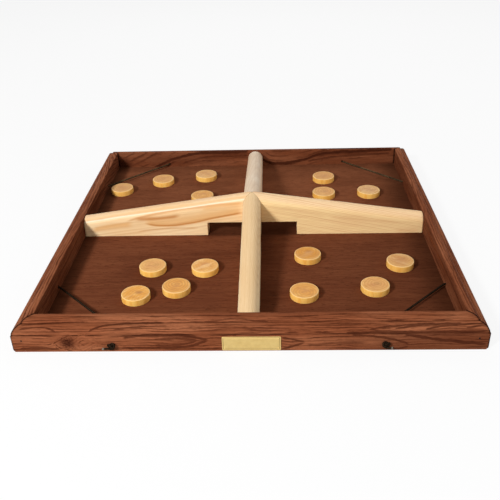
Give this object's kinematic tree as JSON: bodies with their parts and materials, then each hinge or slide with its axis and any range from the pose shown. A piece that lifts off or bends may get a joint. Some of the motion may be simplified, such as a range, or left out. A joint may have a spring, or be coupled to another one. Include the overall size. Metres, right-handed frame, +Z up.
{
  "type": "wooden bounce board game",
  "caption": "Square wooden tray game with moulded rails, a cross of tapered dividers with low gates, an elastic cord across every corner and round wooden pucks.",
  "frame": {"origin": "on the ground under the centre of the square tray, where the four dividers meet", "axes": "+Z up, -Y towards the player at the rail that carries the name plate, +X to that player's right"},
  "size_m": [0.6124, 0.6124, 0.08],
  "materials": {
    "rail_wood": "satin",
    "floor_wood": "satin",
    "divider_wood": "satin",
    "puck_wood": "satin",
    "elastic_cord": "matte",
    "brass": "satin",
    "steel": "matte"
  },
  "bodies": {
    "board": {"front_rail": "rail_wood", "right_rail": "rail_wood", "back_rail": "rail_wood", "left_rail": "rail_wood", "floor_panel": "floor_wood", "right_divider": "divider_wood", "back_divider": "divider_wood", "left_divider": "divider_wood", "front_divider": "divider_wood", "name_plate": "brass", "plate_pins": "brass", "corner_nails": "steel", "floor_staples": "steel", "divider_staples": "steel"},
    "front_left_elastic": {"front_left_elastic": "elastic_cord"},
    "front_right_elastic": {"front_right_elastic": "elastic_cord"},
    "back_right_elastic": {"back_right_elastic": "elastic_cord"},
    "back_left_elastic": {"back_left_elastic": "elastic_cord"},
    "front_left_puck_1": {"front_left_puck_1": "puck_wood"},
    "front_left_puck_2": {"front_left_puck_2": "puck_wood"},
    "front_left_puck_3": {"front_left_puck_3": "puck_wood"},
    "front_left_puck_4": {"front_left_puck_4": "puck_wood"},
    "front_right_puck_1": {"front_right_puck_1": "puck_wood"},
    "front_right_puck_2": {"front_right_puck_2": "puck_wood"},
    "front_right_puck_3": {"front_right_puck_3": "puck_wood"},
    "front_right_puck_4": {"front_right_puck_4": "puck_wood"},
    "back_left_puck_1": {"back_left_puck_1": "puck_wood"},
    "back_left_puck_2": {"back_left_puck_2": "puck_wood"},
    "back_left_puck_3": {"back_left_puck_3": "puck_wood"},
    "back_left_puck_4": {"back_left_puck_4": "puck_wood"},
    "back_right_puck_1": {"back_right_puck_1": "puck_wood"},
    "back_right_puck_2": {"back_right_puck_2": "puck_wood"},
    "back_right_puck_3": {"back_right_puck_3": "puck_wood"},
    "back_right_puck_4": {"back_right_puck_4": "puck_wood"}
  },
  "joints": [
    {"name": "front_left_elastic_draw", "type": "slide", "parent": "board", "child": "front_left_elastic", "axis": [-0.7071, -0.7071, 0], "range_m": [0, 0.045], "stiffness_N_per_m": 150, "deforming": ["front_left_elastic"]},
    {"name": "front_right_elastic_draw", "type": "slide", "parent": "board", "child": "front_right_elastic", "axis": [0.7071, -0.7071, 0], "range_m": [0, 0.045], "stiffness_N_per_m": 150, "deforming": ["front_right_elastic"]},
    {"name": "back_right_elastic_draw", "type": "slide", "parent": "board", "child": "back_right_elastic", "axis": [0.7071, 0.7071, 0], "range_m": [0, 0.045], "stiffness_N_per_m": 150, "deforming": ["back_right_elastic"]},
    {"name": "back_left_elastic_draw", "type": "slide", "parent": "board", "child": "back_left_elastic", "axis": [-0.7071, 0.7071, 0], "range_m": [0, 0.045], "stiffness_N_per_m": 150, "deforming": ["back_left_elastic"]},
    {"name": "front_left_puck_1_slide", "type": "slide", "parent": "board", "child": "front_left_puck_1", "axis": [-0.995, 0.0995, 0], "range_m": [0, 0.1]},
    {"name": "front_left_puck_2_slide", "type": "slide", "parent": "board", "child": "front_left_puck_2", "axis": [0.1638, 0.9865, 0], "range_m": [-0.02, 0.197]},
    {"name": "front_left_puck_3_slide", "type": "slide", "parent": "board", "child": "front_left_puck_3", "axis": [-0.7071, -0.7071, 0], "range_m": [0, 0.042]},
    {"name": "front_left_puck_4_slide", "type": "slide", "parent": "board", "child": "front_left_puck_4", "axis": [0.2, -0.9798, 0], "range_m": [0, 0.07]},
    {"name": "front_right_puck_1_slide", "type": "slide", "parent": "board", "child": "front_right_puck_1", "axis": [0.96, 0.28, 0], "range_m": [0, 0.08]},
    {"name": "front_right_puck_2_slide", "type": "slide", "parent": "board", "child": "front_right_puck_2", "axis": [0.7071, -0.7071, 0], "range_m": [0, 0.042]},
    {"name": "front_right_puck_3_slide", "type": "slide", "parent": "board", "child": "front_right_puck_3", "axis": [0, 1, 0], "range_m": [-0.03, 0.075]},
    {"name": "front_right_puck_4_slide", "type": "slide", "parent": "board", "child": "front_right_puck_4", "axis": [0.8, -0.6, 0], "range_m": [0, 0.07]},
    {"name": "back_left_puck_1_slide", "type": "slide", "parent": "board", "child": "back_left_puck_1", "axis": [0, -1, 0], "range_m": [0, 0.11]},
    {"name": "back_left_puck_2_slide", "type": "slide", "parent": "board", "child": "back_left_puck_2", "axis": [-0.7071, 0.7071, 0], "range_m": [0, 0.035]},
    {"name": "back_left_puck_3_slide", "type": "slide", "parent": "board", "child": "back_left_puck_3", "axis": [1, 0, 0], "range_m": [-0.03, 0.055]},
    {"name": "back_left_puck_4_slide", "type": "slide", "parent": "board", "child": "back_left_puck_4", "axis": [-0.9, -0.436, 0], "range_m": [0, 0.1]},
    {"name": "back_right_puck_1_slide", "type": "slide", "parent": "board", "child": "back_right_puck_1", "axis": [-0.989, 0.148, 0], "range_m": [0, 0.085]},
    {"name": "back_right_puck_2_slide", "type": "slide", "parent": "board", "child": "back_right_puck_2", "axis": [0.5, -0.866, 0], "range_m": [0, 0.07]},
    {"name": "back_right_puck_3_slide", "type": "slide", "parent": "board", "child": "back_right_puck_3", "axis": [0.7071, 0.7071, 0], "range_m": [0, 0.055]},
    {"name": "back_right_puck_4_slide", "type": "slide", "parent": "board", "child": "back_right_puck_4", "axis": [0, -1, 0], "range_m": [-0.12, 0.2]}
  ]
}
